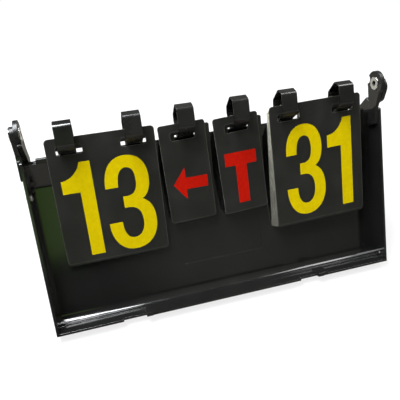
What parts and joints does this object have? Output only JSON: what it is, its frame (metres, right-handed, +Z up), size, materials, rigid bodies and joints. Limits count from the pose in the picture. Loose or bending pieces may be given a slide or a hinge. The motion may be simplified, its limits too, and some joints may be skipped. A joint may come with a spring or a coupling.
{
  "type": "tabletop flip scoreboard",
  "caption": "Folding A-frame flip scoreboard: two hinged black trays with strap loops that carry score, arrow and timeout cards.",
  "frame": {"origin": "middle of the footprint, at the level on which both trays stand", "axes": "+X along the hinge, to the right of someone reading the front cards; +Y from the front tray to the rear tray; +Z up"},
  "size_m": [0.3908, 0.2014, 0.2068],
  "materials": {
    "shell": "glossy black",
    "spine": "glossy black",
    "strap": "satin black",
    "card": "matte charcoal",
    "eyelet": "polished",
    "rivet": "polished"
  },
  "bodies": {
    "case_front": {"front_shell": "shell", "spine_bar": "spine", "loop_1": "strap", "loop_2": "strap", "loop_3": "strap", "loop_4": "strap", "loop_5": "strap", "loop_6": "strap", "pivot_eyelets": "eyelet", "front_side_rivet": "rivet", "left_stack_cards": "card", "right_stack_cards": "card", "arrow_next_card": "card", "timeout_next_card": "card"},
    "case_rear": {"rear_shell": "shell", "rear_side_rivet": "rivet"},
    "left_flip": {"score_card_left": "card"},
    "right_flip": {"score_card_right": "card"},
    "arrow_flip": {"arrow_card": "card"},
    "timeout_flip": {"timeout_card": "card"}
  },
  "joints": [
    {"name": "case_hinge", "type": "hinge", "parent": "case_front", "child": "case_rear", "pos_m": [0, 0, 0.19381], "axis": [1, 0, 0], "range_deg": [0, 303]},
    {"name": "left_score_flip", "type": "hinge", "parent": "case_front", "child": "left_flip", "pos_m": [-0.114, 0, 0.18381], "axis": [1, 0, 0], "range_deg": [-316, 0]},
    {"name": "right_score_flip", "type": "hinge", "parent": "case_front", "child": "right_flip", "pos_m": [0.1153, 0, 0.18481], "axis": [1, 0, 0], "range_deg": [-311, 0]},
    {"name": "arrow_flip", "type": "hinge", "parent": "case_front", "child": "arrow_flip", "pos_m": [-0.0327, 0, 0.18231], "axis": [1, 0, 0], "range_deg": [-315, 0]},
    {"name": "timeout_flip", "type": "hinge", "parent": "case_front", "child": "timeout_flip", "pos_m": [0.02475, 0, 0.18231], "axis": [1, 0, 0], "range_deg": [-314, 0]}
  ]
}
